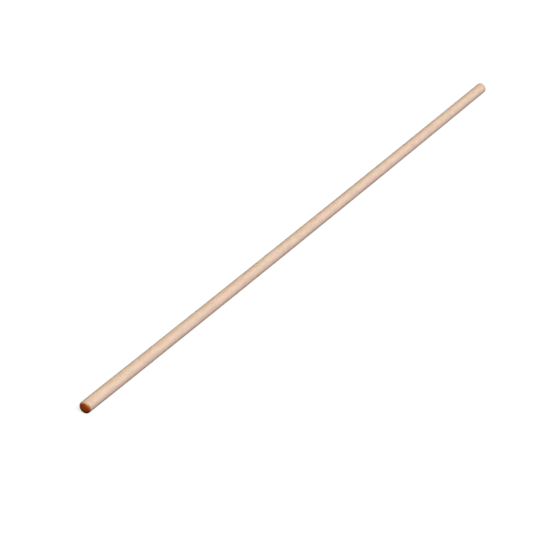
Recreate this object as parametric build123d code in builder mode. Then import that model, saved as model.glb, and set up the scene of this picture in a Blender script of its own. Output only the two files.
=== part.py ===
from build123d import *
import os

# Roller extension pole: one turned wooden pole that pushes into the hollow grip of a paint roller's
# frame. It has no thread, ferrule, socket, hole or sliding stage. Its butt face is slightly crowned
# and rounded over at the edge, and is painted, which seals the end grain.
#
# The pole lies along X, in millimetres. The centre of the tool end's face is the origin, the butt end
# is at negative X, and +Z is up.

# Driving dimensions
overall_length = 60 * IN  # from the tool end's face to the painted tip
pole_diameter = 15 / 16 * IN
tool_edge_chamfer = 0.8  # the sawn tool end has its sharp edge taken off
butt_crown_height = 0.5  # how far the turned butt face would bulge past a sharp rim
butt_edge_radius = 3 / 16 * IN  # the rounding between the butt face and the pole's side
paint_thickness = 0.25
paint_reach = 2.6  # the paint covers the face and two thirds of its rounding
paint_edge_radius = 0.15  # the paint's edge thins out in a small round

# Places that follow from them
pole_radius = pole_diameter / 2
painted_tip_x = -overall_length
wood_tip_x = painted_tip_x + paint_thickness
paint_end_x = painted_tip_x + paint_reach


def turned_profile(tip_x, end_x, radius, tip_edge_radius):
    """Half the section, above the X axis, of a turned piece with a crowned, rounded tip and a flat end."""
    crown_radius = (radius**2 + butt_crown_height**2) / (2 * butt_crown_height)
    with BuildSketch(Plane.XZ) as profile:
        with BuildLine():
            crown = RadiusArc((tip_x, 0), (tip_x + butt_crown_height, radius), crown_radius)
            Polyline(crown @ 1, (end_x, radius), (end_x, 0), crown @ 0)
        make_face()
        side_corners = vertices().group_by(Axis.Y)[-1].sort_by(Axis.X)
        fillet(side_corners[0], tip_edge_radius)
    return profile.sketch


# pole_shaft: the turned wooden pole, crowned and rounded over at the butt, square at the tool end.
with BuildPart() as pole_shaft:
    revolve(turned_profile(wood_tip_x, 0, pole_radius, butt_edge_radius), axis=Axis.X)
    tool_rim = edges().filter_by(GeomType.CIRCLE).sort_by(Axis.X)[-1]
    chamfer(tool_rim, tool_edge_chamfer)

# butt_end_coat: the dried film of paint over the butt face and most of its rounding. It is the same
# turned shape, grown by the paint's thickness, cut off where the paint stops, less the wood inside it.
with BuildPart() as butt_end_coat:
    painted_radius = pole_radius + paint_thickness
    painted_edge_radius = butt_edge_radius + paint_thickness
    blank_end_x = paint_end_x + painted_radius
    revolve(turned_profile(painted_tip_x, blank_end_x, painted_radius, painted_edge_radius), axis=Axis.X)
    split(bisect_by=Plane.YZ.offset(paint_end_x), keep=Keep.BOTTOM)
    paint_rim = edges().filter_by(GeomType.CIRCLE).sort_by(Axis.X)[-1]
    fillet(paint_rim, paint_edge_radius)
    add(pole_shaft.part, mode=Mode.SUBTRACT)

pole_shaft.part.label = "pole_shaft"
butt_end_coat.part.label = "butt_end_coat"

os.makedirs("parts", exist_ok=True)
export_step(pole_shaft.part, "parts/pole_shaft.step")
export_step(butt_end_coat.part, "parts/butt_end_coat.step")
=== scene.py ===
from math import acos, asin, cos, pi, radians, sin, sqrt
from typing import NamedTuple

import bmesh
import bpy
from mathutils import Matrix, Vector, noise


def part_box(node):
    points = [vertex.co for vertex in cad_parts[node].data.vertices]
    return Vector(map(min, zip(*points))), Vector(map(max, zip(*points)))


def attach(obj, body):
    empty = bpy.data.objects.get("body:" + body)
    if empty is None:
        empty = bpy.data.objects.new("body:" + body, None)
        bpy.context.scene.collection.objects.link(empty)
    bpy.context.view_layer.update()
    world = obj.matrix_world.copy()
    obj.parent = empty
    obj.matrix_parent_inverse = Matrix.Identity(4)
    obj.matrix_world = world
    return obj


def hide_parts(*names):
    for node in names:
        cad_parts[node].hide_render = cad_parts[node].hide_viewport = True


# The looks of the roller extension pole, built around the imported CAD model, in metres.
# The pole lies along X: its tool end's face is at x = 0, its painted butt end at negative x.

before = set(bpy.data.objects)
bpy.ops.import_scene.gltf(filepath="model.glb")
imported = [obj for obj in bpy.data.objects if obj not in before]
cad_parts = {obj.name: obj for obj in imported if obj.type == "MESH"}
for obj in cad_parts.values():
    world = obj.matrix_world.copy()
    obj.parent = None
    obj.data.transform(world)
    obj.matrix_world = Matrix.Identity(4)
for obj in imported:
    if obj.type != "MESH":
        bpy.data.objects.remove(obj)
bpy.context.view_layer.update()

MM = 0.001
INCH = 25.4 * MM

# Sizes read from the frame
shaft_low, shaft_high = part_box("pole_shaft")
paint_low, paint_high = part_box("butt_end_coat")
pole_radius = shaft_high.z
wood_tip_x = shaft_low.x
tool_face_x = shaft_high.x
painted_tip_x = paint_low.x
paint_end_x = paint_high.x
paint_thickness = wood_tip_x - painted_tip_x
floor_z = -pole_radius

# Sizes of the CAD source that the frame doesn't hold as numbers
BUTT_CROWN = 0.5 * MM
BUTT_EDGE_RADIUS = 3 / 16 * INCH
TOOL_EDGE_CHAMFER = 0.8 * MM

# The butt was dipped a little askew, so the paint reaches further along one side of the pole
# That side is also the pole's low side, where the paint's rim is painted darker, as painted shade, and
# the wood's stain is stronger
DIP_AND_SHADE_TOWARDS = (-0.75, -0.66)  # that side's direction in Y and Z
DIP_SLANT = 0.16  # metres along X for each metre across


# ------------------------------------------------------------------------------ node trees


class Nodes:
    """A node tree, with one short call for each kind of node used here."""

    def __init__(self, tree):
        self.tree = tree

    def node(self, kind, inputs, **settings):
        """Adds a node. Each input takes another node's output, or a plain number or vector."""
        made = self.tree.nodes.new(kind)
        for name, value in settings.items():
            setattr(made, name, value)
        for name, value in inputs.items():
            self.put(made.inputs[name], value)
        return made.outputs

    def put(self, socket, value):
        if isinstance(value, bpy.types.NodeSocket):
            self.tree.links.new(value, socket)
        else:
            socket.default_value = value

    def mix(self, share, first, second, kind="RGBA"):
        """The first colour, or number, where share is 0, and the second where it is 1."""
        made = self.tree.nodes.new("ShaderNodeMix")
        made.data_type = kind
        sockets = [socket for socket in made.inputs if socket.enabled]
        for socket, value in zip(sockets, (share, first, second)):
            self.put(socket, value)
        return next(socket for socket in made.outputs if socket.enabled)

    def seen_and_felt(self, seen, felt):
        """One colour for the camera, and another for the light that is sent to other things."""
        camera_ray = self.node("ShaderNodeLightPath", {})["Is Camera Ray"]
        return self.mix(camera_ray, felt, seen)


class Pattern(NamedTuple):
    """A smooth noise from 0 to 1, fixed to the row frame."""

    per_metre: tuple  # about how many features it has to the metre along X, Y and Z
    seed: float  # which stretch of the endless noise is used
    detail: float = 2.0  # octaves of finer noise on top of the coarsest


class Shader(Nodes):
    """A new material's node tree. Its patterns and distances are in the row frame, in metres."""

    def __init__(self, name):
        self.material = bpy.data.materials.new(name)
        self.material.use_nodes = True
        super().__init__(self.material.node_tree)
        self.surface = self.tree.nodes["Principled BSDF"].inputs
        self.coordinates = self.tree.nodes.new("ShaderNodeTexCoord").outputs
        self.place = self.coordinates["Object"]

    def math(self, operation, *values):
        return self.node("ShaderNodeMath", dict(enumerate(values)), operation=operation)[0]

    def split(self, vector):
        return self.node("ShaderNodeSeparateXYZ", {0: vector})

    def length(self, y, z):
        """How far the point (y, z) is from the X axis."""
        across = self.node("ShaderNodeCombineXYZ", {"Y": y, "Z": z})[0]
        return self.node("ShaderNodeVectorMath", {0: across}, operation="LENGTH")["Value"]

    def towards(self, direction):
        """How far the point is from the pole's middle, in that direction (y, z) across it."""
        y, z = self.split(self.place)[1:]
        y_part = self.math("MULTIPLY", y, direction[0])
        return self.math("MULTIPLY_ADD", z, direction[1], y_part)

    def noise(self, pattern):
        shift = (pattern.seed, -pattern.seed, 2 * pattern.seed)
        place = {0: self.place, 1: pattern.per_metre, 2: shift}
        placed = self.node("ShaderNodeVectorMath", place, operation="MULTIPLY_ADD")[0]
        inputs = {"Vector": placed, "Scale": 1.0, "Detail": pattern.detail}
        return self.node("ShaderNodeTexNoise", inputs)[0]

    def fade(self, value, start, end, low=0.0, high=1.0):
        """A smooth step: low up to start, high from end on. start may be above end."""
        limits = {"From Min": start, "From Max": end, "To Min": low, "To Max": high}
        limits["Value"] = value
        return self.node("ShaderNodeMapRange", limits, interpolation_type="SMOOTHSTEP")[0]

    def shade(self, colour, value, swing):
        """The colour made up to half of swing darker or lighter, by a noise from 0 to 1."""
        factor = self.math("MULTIPLY_ADD", value, swing, 1.0 - swing / 2)
        return self.node("ShaderNodeVectorMath", {0: colour, "Scale": factor}, operation="SCALE")[0]

    def bump(self, height, depth, under=None):
        """A relief of that depth in metres, where height goes from 0 to 1, on top of under's."""
        inputs = {"Strength": 1.0, "Distance": depth, "Height": height}
        if under is not None:
            inputs["Normal"] = under
        return self.node("ShaderNodeBump", inputs)[0]


# ------------------------------------------------------------------------------ the wood
#
# A colour's limits are the two values, of a pattern or of a distance, between which it fades in. Its
# share is how much of it there is then. A swing is how much a pattern lightens and darkens the wood.

WOOD_PALE = (0.655, 0.51, 0.405, 1)  # the ground colour
WOOD_WARM = (0.70, 0.49, 0.335, 1)  # towards the tree's heart
WOOD_PINK = (0.675, 0.49, 0.41, 1)  # away from the heart
WOOD_STRAW = (0.66, 0.52, 0.35, 1)  # streaks and mottles
WOOD_FLUSH = (0.69, 0.472, 0.375, 1)  # reddish mottles
WOOD_LATE = (0.42, 0.27, 0.17, 1)  # late wood at the edge of each growth ring
WOOD_PORE = (0.36, 0.235, 0.15, 1)
WOOD_CUT = (0.60, 0.43, 0.29, 1)  # end grain, which soaks up light
WOOD_STAIN = (0.31, 0.15, 0.05, 1)  # where thin paint crept along the grain

PITH_Y, PITH_Z = 17 * MM, 65 * MM  # the tree's heart, well outside the pole
PITH_DRIFT = 0.002  # how far the grain runs off the pole's axis, for each metre along it
PITH_WANDER = 3.0 * MM  # how much the grain waves on its way
WANDER = Pattern((2.2, 30, 30), seed=3.1)

RING_WIDTH = 2.6 * MM
RING_RAGGEDNESS = 0.16  # of a ring's width
RAGGED_RINGS = Pattern((14, 700, 700), seed=8.4)
LATE_LIMITS = (0.25, 0.90)  # shares of a ring's width, between which it darkens
RING_END_LIMITS = (0.93, 1.0)  # and between which it is pale again
RING_SHARE = 0.14  # on the pole's side
RING_SHARE_ADDED_ON_END = 0.45

PORE_DASHES = Pattern((230, 5200, 5200), seed=5.5, detail=1.0)
PORE_DASH_LIMITS = (0.66, 0.76)
PORE_DOTS = Pattern((900, 4200, 4200), seed=6.6, detail=1.0)
PORE_DOT_LIMITS = (0.58, 0.72)
PORE_SHARE = 0.6

WARM_LIMITS = (60.0 * MM, 56.0 * MM)  # from the heart, as are the next
PINK_LIMITS = (61.5 * MM, 67.0 * MM)
HEART_BLUR = 9 * MM  # how far the blotches move those limits in all

FIBRES = Pattern((16, 2600, 2600), seed=1.2, detail=3.0)
FIBRE_SWING = 0.22
FLECKS = Pattern((450, 1500, 1500), seed=13.7)
FLECK_SWING = 0.14
BLOTCHES = Pattern((60, 150, 150), seed=7.9)
BLOTCH_SWING = 0.32
STREAKS = Pattern((3.5, 420, 420), seed=2.3, detail=3.0)
STREAK_LIMITS = (0.52, 0.74)
STREAK_SHARE = 0.45
MOTTLES = Pattern((110, 200, 200), seed=11.3, detail=3.0)
MOTTLE_FLUSH_LIMITS = (0.50, 0.68)
MOTTLE_STRAW_LIMITS = (0.48, 0.30)
TINTS = Pattern((16, 60, 60), seed=4.6)  # long stretches where one kind of mottle is commoner
TINT_SHIFT = 0.36

END_GRAIN_LIMITS = (0.55, 0.95)  # of how squarely the surface faces along X
CUT_SHARE = 0.55

STAIN_REACH = 6 * MM
STAIN_SIDE_LIMITS = (-12 * MM, 4 * MM)  # towards the pole's low side, where the stain is stronger
STAIN_SHARES = (0.25, 0.8)  # at those limits

WOOD_ROUGHNESS = 0.44  # where it is smoothest
ROUGHNESS_OF_STREAKS = 0.16
ROUGHNESS_ADDED_ON_END = 0.25
WOOD_SHINE = 0.40
FIBRE_RELIEF = 0.018 * MM
RING_RELIEF = 0.012 * MM


def from_heart(wood):
    """How far the wood is from the tree's heart, which the grain follows, wandering a little."""
    x, y, z = wood.split(wood.place)
    heart_y = wood.math("MULTIPLY_ADD", x, PITH_DRIFT, PITH_Y)
    wander = wood.math("SUBTRACT", wood.noise(WANDER), 0.5)
    heart_z = wood.math("MULTIPLY_ADD", wander, PITH_WANDER, PITH_Z)
    return wood.length(wood.math("SUBTRACT", y, heart_y), wood.math("SUBTRACT", z, heart_z))


def growth_rings(wood, heart_distance):
    """From 0 in early wood to 1 at each ring's late edge, on rings about the tree's heart."""
    rings = wood.math("DIVIDE", heart_distance, RING_WIDTH)
    ragged = wood.math("MULTIPLY_ADD", wood.noise(RAGGED_RINGS), RING_RAGGEDNESS, rings)
    through_ring = wood.math("FRACT", ragged)
    darkening = wood.fade(through_ring, *LATE_LIMITS)
    ring_end = wood.fade(through_ring, *RING_END_LIMITS, low=1.0, high=0.0)
    return wood.math("MULTIPLY", darkening, ring_end)


def wood_pores(wood, end_grain):
    """Open vessels: short dark dashes along the grain on the side, fine dots on the cut end."""
    dashes = wood.fade(wood.noise(PORE_DASHES), *PORE_DASH_LIMITS)
    dots = wood.fade(wood.noise(PORE_DOTS), *PORE_DOT_LIMITS)
    return wood.mix(end_grain, dashes, dots, kind="FLOAT")


def wood_mottles(wood):
    mottles = wood.noise(MOTTLES)
    tints = wood.math("MULTIPLY_ADD", wood.noise(TINTS), TINT_SHIFT, -TINT_SHIFT / 2)
    return wood.math("ADD", mottles, tints)


def paint_stain(wood, fibres):
    """Strongest at the edge of the butt's paint, 0 in the clean wood, further along some fibres, and
    stronger on the pole's low side.
    """
    side = wood.towards(DIP_AND_SHADE_TOWARDS)
    slanted = wood.math("MULTIPLY_ADD", side, -DIP_SLANT, wood.split(wood.place)[0])
    ragged = wood.math("MULTIPLY_ADD", fibres, -STAIN_REACH / 2, slanted)
    full_x, clean_x = paint_end_x - STAIN_REACH / 4, paint_end_x + STAIN_REACH / 2
    stain = wood.fade(ragged, full_x, clean_x, low=1.0, high=0.0)
    return wood.math("MULTIPLY", stain, wood.fade(side, *STAIN_SIDE_LIMITS, *STAIN_SHARES))


def pole_wood():
    wood = Shader("pole_wood")
    faces_along = wood.math("ABSOLUTE", wood.split(wood.coordinates["Normal"])[0])
    end_grain = wood.fade(faces_along, *END_GRAIN_LIMITS)
    heart_distance = from_heart(wood)
    rings = growth_rings(wood, heart_distance)
    pores = wood_pores(wood, end_grain)
    mottles = wood_mottles(wood)
    fibres = wood.noise(FIBRES)
    streaks = wood.noise(STREAKS)
    blotches = wood.noise(BLOTCHES)

    blurred = wood.math("MULTIPLY_ADD", blotches, HEART_BLUR, heart_distance)
    blurred = wood.math("SUBTRACT", blurred, HEART_BLUR / 2)
    colour = wood.mix(wood.fade(blurred, *PINK_LIMITS), WOOD_PALE, WOOD_PINK)
    colour = wood.mix(wood.fade(blurred, *WARM_LIMITS), colour, WOOD_WARM)
    colour = wood.mix(wood.fade(streaks, *STREAK_LIMITS, high=STREAK_SHARE), colour, WOOD_STRAW)
    colour = wood.mix(wood.fade(mottles, *MOTTLE_FLUSH_LIMITS), colour, WOOD_FLUSH)
    colour = wood.mix(wood.fade(mottles, *MOTTLE_STRAW_LIMITS), colour, WOOD_STRAW)
    colour = wood.mix(wood.math("MULTIPLY", end_grain, CUT_SHARE), colour, WOOD_CUT)
    ring_share = wood.math("MULTIPLY_ADD", end_grain, RING_SHARE_ADDED_ON_END, RING_SHARE)
    colour = wood.mix(wood.math("MULTIPLY", rings, ring_share), colour, WOOD_LATE)
    colour = wood.shade(colour, fibres, FIBRE_SWING)
    colour = wood.shade(colour, wood.noise(FLECKS), FLECK_SWING)
    colour = wood.shade(colour, blotches, BLOTCH_SWING)
    colour = wood.mix(paint_stain(wood, fibres), colour, WOOD_STAIN)
    colour = wood.mix(wood.math("MULTIPLY", pores, PORE_SHARE), colour, WOOD_PORE)
    wood.put(wood.surface["Base Color"], colour)

    sanded = wood.math("MULTIPLY_ADD", streaks, ROUGHNESS_OF_STREAKS, WOOD_ROUGHNESS)
    roughness = wood.math("MULTIPLY_ADD", end_grain, ROUGHNESS_ADDED_ON_END, sanded)
    wood.put(wood.surface["Roughness"], roughness)
    wood.put(wood.surface["Specular IOR Level"], WOOD_SHINE)

    relief = wood.bump(fibres, FIBRE_RELIEF)
    relief = wood.bump(wood.math("SUBTRACT", rings, pores), RING_RELIEF, under=relief)
    wood.put(wood.surface["Normal"], relief)
    return wood.material


# ------------------------------------------------------------------------------ the paint

PAINT_FACE = (0.60, 0.105, 0.006, 1)  # over end grain, which drinks the paint and darkens it
PAINT_RIM = (0.62, 0.085, 0.005, 1)  # built up on the rounding
PAINT_RIM_SHADED = (0.36, 0.062, 0.004, 1)  # painted shade: the rounding, darker on the pole's low side
PAINT_WORN = (0.40, 0.115, 0.006, 1)  # browner in the middle
PAINT_LOW_SHADE = (0.18, 0.021, 0.002, 1)  # painted shade: the lowest part of the painted end, darker

RAGGED_PAINT = Pattern((0, 210, 210), seed=2.2, detail=3.0)
PAINT_RAGGEDNESS = 2.4 * MM
RIM_LIMITS = (6 * MM, 11 * MM)  # from the axis, as are the next
WORN_LIMITS = (7 * MM, 3 * MM)
WORN_SHARE = 0.5
RIM_SHADE_LIMITS = (-1 * MM, 5 * MM)  # towards the pole's low side, where the rim's painted shade fades in
LOW_SHADE_TOWARDS = (-0.2, -0.98)  # nearly straight down, in Y and Z
LOW_SHADE_LIMITS = (0.5 * MM, 10.2 * MM)

CLOUDS = Pattern((300, 260, 260), seed=5.1, detail=4.0)
CLOUD_SWING = 0.9
PAINT_GRAIN = Pattern((900, 1900, 1900), seed=9.3)
GRAIN_SWING = 0.16

PAINT_ROUGHNESS = 0.30  # where it is smoothest
ROUGHNESS_OF_CLOUDS = 0.22
PAINT_SHINE = 0.15
GRAIN_RELIEF = 0.02 * MM
CLOUD_RELIEF = 0.10 * MM


def butt_paint():
    paint = Shader("butt_paint")
    from_axis = paint.length(*paint.split(paint.place)[1:])
    ragged = paint.math("MULTIPLY_ADD", paint.noise(RAGGED_PAINT), PAINT_RAGGEDNESS, from_axis)
    clouds = paint.noise(CLOUDS)
    grain = paint.noise(PAINT_GRAIN)

    # painted shade: the rim darkens on the pole's low side
    rim_shade = paint.fade(paint.towards(DIP_AND_SHADE_TOWARDS), *RIM_SHADE_LIMITS)
    rim_colour = paint.mix(rim_shade, PAINT_RIM, PAINT_RIM_SHADED)
    colour = paint.mix(paint.fade(ragged, *RIM_LIMITS), PAINT_FACE, rim_colour)
    worn = paint.math("MULTIPLY", paint.fade(ragged, *WORN_LIMITS), WORN_SHARE)
    colour = paint.mix(worn, colour, PAINT_WORN)
    # painted shade: the paint darkens towards the bottom of the butt
    low_shade = paint.fade(paint.towards(LOW_SHADE_TOWARDS), *LOW_SHADE_LIMITS)
    colour = paint.mix(low_shade, colour, PAINT_LOW_SHADE)
    colour = paint.shade(colour, clouds, CLOUD_SWING)
    colour = paint.shade(colour, grain, GRAIN_SWING)
    paint.put(paint.surface["Base Color"], colour)

    roughness = paint.math("MULTIPLY_ADD", clouds, ROUGHNESS_OF_CLOUDS, PAINT_ROUGHNESS)
    paint.put(paint.surface["Roughness"], roughness)
    paint.put(paint.surface["Specular IOR Level"], PAINT_SHINE)

    relief = paint.bump(grain, GRAIN_RELIEF)
    paint.put(paint.surface["Normal"], paint.bump(clouds, CLOUD_RELIEF, under=relief))
    return paint.material


# ------------------------------------------------------------------------------ turned meshes
#
# Each piece is an outline turned about X. An outline is half of a lengthwise section: points (x, r),
# where r is the distance from the X axis.

ON_AXIS = 0.001 * MM  # a point this near the axis is on it
BOW = 2.4 * MM  # wood dries a little crooked: half way along, this pole is that far to one side


def straight(start, end, steps):
    return [start.lerp(end, step / steps) for step in range(steps + 1)]


def eased_corner(before, corner, after, reach, steps=6):
    """A soft curve in place of a sharp corner, starting and ending that far from it."""
    start = corner + reach * (before - corner).normalized()
    end = corner + reach * (after - corner).normalized()
    shares = [step / steps for step in range(steps + 1)]
    return [start.lerp(corner, share).lerp(corner.lerp(end, share), share) for share in shares]


def bowed(x, y, z):
    """The point as the bow shifts it. Neither end moves, and the pole still lies on the floor."""
    along = x / painted_tip_x
    return x, y - 4 * BOW * along * (1 - along), z


def linked(name, mesh, material):
    """The scene object of a finished bmesh, smooth shaded."""
    made = bpy.data.objects.new(name, bpy.data.meshes.new(name))
    mesh.to_mesh(made.data)
    mesh.free()
    made.data.shade_smooth()
    made.data.materials.append(material)
    bpy.context.scene.collection.objects.link(made)
    return made


def turned(name, rings, sides, place, material):
    """A closed mesh with one ring of points for each of rings, which starts and ends on the axis.
    place(ring, turn) gives the (x, r) of a ring's point at that angle about X."""
    mesh = bmesh.new()
    made_rings = []
    for ring in rings:
        points = []
        for side in range(sides):
            turn = 2 * pi * side / sides
            x, r = place(ring, turn)
            points.append(mesh.verts.new(bowed(x, r * cos(turn), r * sin(turn))))
            if r < ON_AXIS:
                break
        made_rings.append(points)
    for first, second in zip(made_rings, made_rings[1:]):
        for side in range(sides):
            ends = (side, (side + 1) % sides)
            corners = [first[end % len(first)] for end in ends]
            corners += [second[end % len(second)] for end in reversed(ends)]
            mesh.faces.new(dict.fromkeys(corners))
    bmesh.ops.recalc_face_normals(mesh, faces=mesh.faces)
    piece = linked(name, mesh, material)
    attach(piece, "root")
    return piece


# ------------------------------------------------------------------------------ the butt end's surface
#
# A shallow crown, then the rounding of its edge, then the pole's straight side. A place on it is given
# by its path: how far it is from the axis, along the surface.

crown_radius = (pole_radius**2 + BUTT_CROWN**2) / (2 * BUTT_CROWN)
crown_centre = Vector((wood_tip_x + crown_radius, 0))
crown_slope = asin((pole_radius - BUTT_EDGE_RADIUS) / (crown_radius - BUTT_EDGE_RADIUS))
crown_path = crown_radius * crown_slope
edge_centre_r = pole_radius - BUTT_EDGE_RADIUS
edge_centre_x = crown_centre.x - sqrt((crown_radius - BUTT_EDGE_RADIUS) ** 2 - edge_centre_r**2)
edge_centre = Vector((edge_centre_x, edge_centre_r))
side_path = crown_path + BUTT_EDGE_RADIUS * (pi / 2 - crown_slope)


def butt_surface(path):
    """The wood's point (x, r) there, and the direction straight out of the wood."""
    if path > side_path:
        return Vector((edge_centre.x + path - side_path, pole_radius)), Vector((0, 1))
    if path > crown_path:
        slope = crown_slope + (path - crown_path) / BUTT_EDGE_RADIUS
        centre, radius = edge_centre, BUTT_EDGE_RADIUS
    else:
        slope = path / crown_radius
        centre, radius = crown_centre, crown_radius
    outward = Vector((-cos(slope), sin(slope)))
    return centre + radius * outward, outward


# ------------------------------------------------------------------------------ the pole

POLE_SIDES = 128
RING_STEP = 6 * MM
BUTT_RINGS = 40
TOOL_FACE_RINGS = 16
EDGE_EASING = 0.25 * MM
SEAM_REACH = 0.7 * MM  # from the tool end's chamfer back to where its piece starts

SIDE_WAVE = 0.06 * MM  # what turning and sanding leave on a round pole
SIDE_WAVES_PER_METRE = 9
SIDE_CIRCLE = 1.4  # in the noise, see around()
SIDE_WAVE_START = 20 * MM  # from the rounding of the butt's edge to where the waves are full

CHAMFER_WAVE = 0.10 * MM
CHAMFER_CIRCLE = 2.5
CHAMFER_WAVE_FALL = 6  # how steeply the waves die out towards the axis
CHAMFER_SEED = 5

chamfer_x = tool_face_x - TOOL_EDGE_CHAMFER
seam_x = chamfer_x - SEAM_REACH


def around(turn, radius):
    """A point on a circle in the noise, so that what is read there closes on itself after one turn.
    A larger circle gives more waves around the pole."""
    return radius * cos(turn), radius * sin(turn)


def wood_place(ring, turn):
    """The pole's side stands a little in or out, in long shallow facets, except near the paint."""
    x, r = ring
    wave = noise.noise(Vector((x * SIDE_WAVES_PER_METRE, *around(turn, SIDE_CIRCLE))))
    clear_of_paint = min(1.0, max(0.0, (x - edge_centre.x) / SIDE_WAVE_START))
    return x, r * (1 + clear_of_paint * wave * SIDE_WAVE / pole_radius)


def tool_end_place(ring, turn):
    """As the side, and the chamfer is a little deeper in some places, as one made by hand is."""
    x, r = ring
    wave = noise.noise(Vector((CHAMFER_SEED, *around(turn, CHAMFER_CIRCLE))))
    along_chamfer = max(0.0, (x - chamfer_x) / TOOL_EDGE_CHAMFER)
    on_chamfer = along_chamfer * (r / pole_radius) ** CHAMFER_WAVE_FALL
    return wood_place((x, r - on_chamfer * wave * CHAMFER_WAVE), turn)


def add_shaft(material):
    """The pole's whole length, from the butt under its paint to just short of the tool end."""
    butt = [butt_surface(side_path * ring / BUTT_RINGS)[0] for ring in range(BUTT_RINGS + 1)]
    side_end = Vector((seam_x, pole_radius))
    steps = round((side_end.x - butt[-1].x) / RING_STEP)
    rings = butt + straight(butt[-1], side_end, steps)[1:] + [Vector((seam_x, 0))]
    return turned("pole_shaft_side", rings, POLE_SIDES, wood_place, material)


def add_tool_end(material):
    """The last millimetres at the tool end, as a piece apart from the side, in the same material."""
    back = Vector((seam_x, 0))
    start = Vector((seam_x, pole_radius))
    outer = Vector((chamfer_x, pole_radius))
    inner = Vector((tool_face_x, pole_radius - TOOL_EDGE_CHAMFER))
    middle = Vector((tool_face_x, 0))
    rings = [back, start]
    rings += eased_corner(start, outer, inner, EDGE_EASING)
    rings += eased_corner(outer, inner, middle, EDGE_EASING)
    rings += straight(rings[-1], middle, TOOL_FACE_RINGS)[1:]
    return turned("pole_tool_end", rings, POLE_SIDES, tool_end_place, material)


# ------------------------------------------------------------------------------ the film of paint

PAINT_SIDES = 256
PAINT_RINGS = 60
PAINT_SINK = 0.03 * MM  # how far the film's hidden side is sunk into the wood
PAINT_LIP = 0.7 * MM  # the film thins out over this much of its path

PAINT_EDGE_WAVE = 0.6 * MM
EDGE_CIRCLE = 1.6
EDGE_SEED = 2
RIPPLE_SHARE = 0.4  # how high the finer waves are, next to the others
RIPPLE_CIRCLE = 6
RIPPLE_SEED = 8

PAINT_SAG = 0.12 * MM  # a film that dried uneven
SAG_CIRCLE = 3

paint_end_slope = acos((edge_centre.x - paint_end_x) / BUTT_EDGE_RADIUS)
paint_path = crown_path + BUTT_EDGE_RADIUS * (paint_end_slope - crown_slope)


def film_place(ring, turn):
    """ring is a share of the paint's path and, from 0 to 1, of its thickness."""
    share, thickness = ring
    edge_wave = noise.noise(Vector((EDGE_SEED, *around(turn, EDGE_CIRCLE))))
    edge_wave += RIPPLE_SHARE * noise.noise(Vector((RIPPLE_SEED, *around(turn, RIPPLE_CIRCLE))))
    dip_y, dip_z = DIP_AND_SHADE_TOWARDS
    slant = DIP_SLANT * pole_radius * (dip_y * cos(turn) + dip_z * sin(turn))
    point, outward = butt_surface(share * (paint_path + slant + edge_wave * PAINT_EDGE_WAVE))
    circle = share * SAG_CIRCLE
    sag = noise.noise(Vector((circle, *around(turn, circle)))) * PAINT_SAG * (1 - share)
    thinned = sag * sag / PAINT_SAG  # so the film is nowhere thicker than in CAD
    height = thickness * (paint_thickness - thinned) - (1 - thickness) * PAINT_SINK
    return point + outward * height


def add_paint(material):
    """The closed film of paint over the butt end."""
    outside = []
    for ring in range(PAINT_RINGS + 1):
        share = ring / PAINT_RINGS
        into_lip = max(0.0, 1 - (1 - share) * paint_path / PAINT_LIP)
        outside.append((share, sqrt(1 - into_lip**2)))
    inside = [(share, 0) for share, thickness in reversed(outside)]
    return turned("butt_end_paint", outside + inside[1:], PAINT_SIDES, film_place, material)


# ------------------------------------------------------------------------------ the pieces

wood_material = pole_wood()
for wood_piece in (add_shaft(wood_material), add_tool_end(wood_material)):
    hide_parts("pole_shaft")

paint_piece = add_paint(butt_paint())
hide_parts("butt_end_coat")

# ------------------------------------------------------------------------------ the stage
#
# The camera sees a floor and a sky that are brighter than the ones that light the pole.

FLOOR_SIZE = 80
FLOOR_SEEN = (0.22, 0.22, 0.22, 1)
FLOOR_FELT = (0.11, 0.11, 0.11, 1)  # dark, so that little light comes up to the pole's low side
FLOOR_GLOW = (0.80, 0.80, 0.80, 1)  # a light table's, which thins out the shadow
NO_GLOW = (0, 0, 0, 1)
SKY_SEEN = (1, 1, 1, 1)
SKY_FELT = (0.04, 0.04, 0.04, 1)

# Each light has the direction it comes from, its strength, and how wide it is in degrees
KEY_FROM = (-0.17, -0.590, 0.790)
KEY_STRENGTH = 3.98
KEY_ANGLE = 32
END_FILL_FROM = (1, 0.05, 0.03)  # low, from beyond the tool end, for the face the key leaves dark
END_FILL_STRENGTH = 1.8
BACK_FILL_FROM = (0.10, 1, 0.01)  # low, from behind the pole
BACK_FILL_STRENGTH = 0.95
FILL_ANGLE = 15

# Where the camera stands, and which way it looks, in degrees
CAMERA_LENS = 131.7
CAMERA_AZIMUTH = -57.418
CAMERA_ELEVATION = 31.191
CAMERA_PLACE = (-3.71592, -1.78283, 1.99169)


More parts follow.
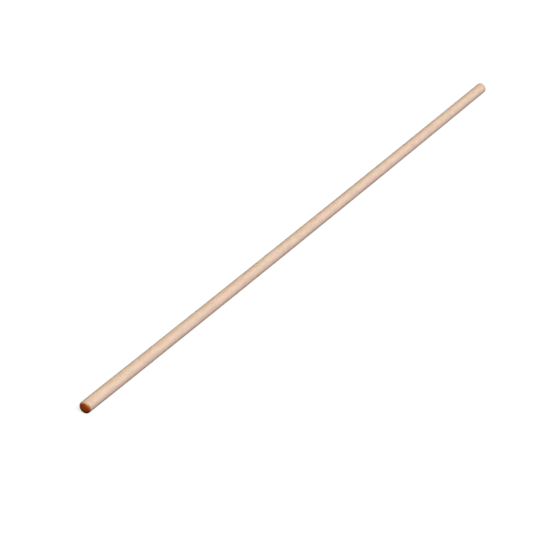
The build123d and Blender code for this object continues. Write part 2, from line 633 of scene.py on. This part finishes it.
def add_floor():
    mesh = bmesh.new()
    bmesh.ops.create_grid(mesh, x_segments=1, y_segments=1, size=FLOOR_SIZE / 2)
    paper = Shader("floor_paper")
    paper.put(paper.surface["Base Color"], paper.seen_and_felt(FLOOR_SEEN, FLOOR_FELT))
    paper.put(paper.surface["Emission Color"], paper.seen_and_felt(FLOOR_GLOW, NO_GLOW))
    paper.put(paper.surface["Emission Strength"], 1.0)
    paper.put(paper.surface["Roughness"], 1.0)
    paper.put(paper.surface["Specular IOR Level"], 0.0)
    floor = linked("studio_floor", mesh, paper.material)
    floor.location.z = floor_z


def add_sky():
    world = bpy.data.worlds.new("studio_sky")
    world.use_nodes = True
    sky = Nodes(world.node_tree)
    sky.put(sky.tree.nodes["Background"].inputs["Color"], sky.seen_and_felt(SKY_SEEN, SKY_FELT))
    bpy.context.scene.world = world


def add_sun(name, direction, strength, angle, shines):
    """A soft light from that direction, as even over the whole floor as a studio's. It makes
    highlights if it shines."""
    light = bpy.data.lights.new(name, "SUN")
    light.energy = strength
    light.angle = radians(angle)
    made = bpy.data.objects.new(name, light)
    made.visible_glossy = shines
    made.rotation_euler = Vector(direction).to_track_quat("Z", "Y").to_euler()
    bpy.context.scene.collection.objects.link(made)


def add_camera():
    camera = bpy.data.cameras.new("camera")
    camera.lens = CAMERA_LENS
    camera.clip_end = 2 * FLOOR_SIZE
    made = bpy.data.objects.new("camera", camera)
    made.location = CAMERA_PLACE
    made.rotation_euler = (radians(90 - CAMERA_ELEVATION), 0, radians(CAMERA_AZIMUTH))
    bpy.context.scene.collection.objects.link(made)
    bpy.context.scene.camera = made


add_floor()
add_sky()
add_sun("key", KEY_FROM, KEY_STRENGTH, KEY_ANGLE, shines=True)
add_sun("end_fill", END_FILL_FROM, END_FILL_STRENGTH, FILL_ANGLE, shines=False)
add_sun("back_fill", BACK_FILL_FROM, BACK_FILL_STRENGTH, FILL_ANGLE, shines=False)
add_camera()
bpy.context.scene.view_settings.view_transform = "Standard"
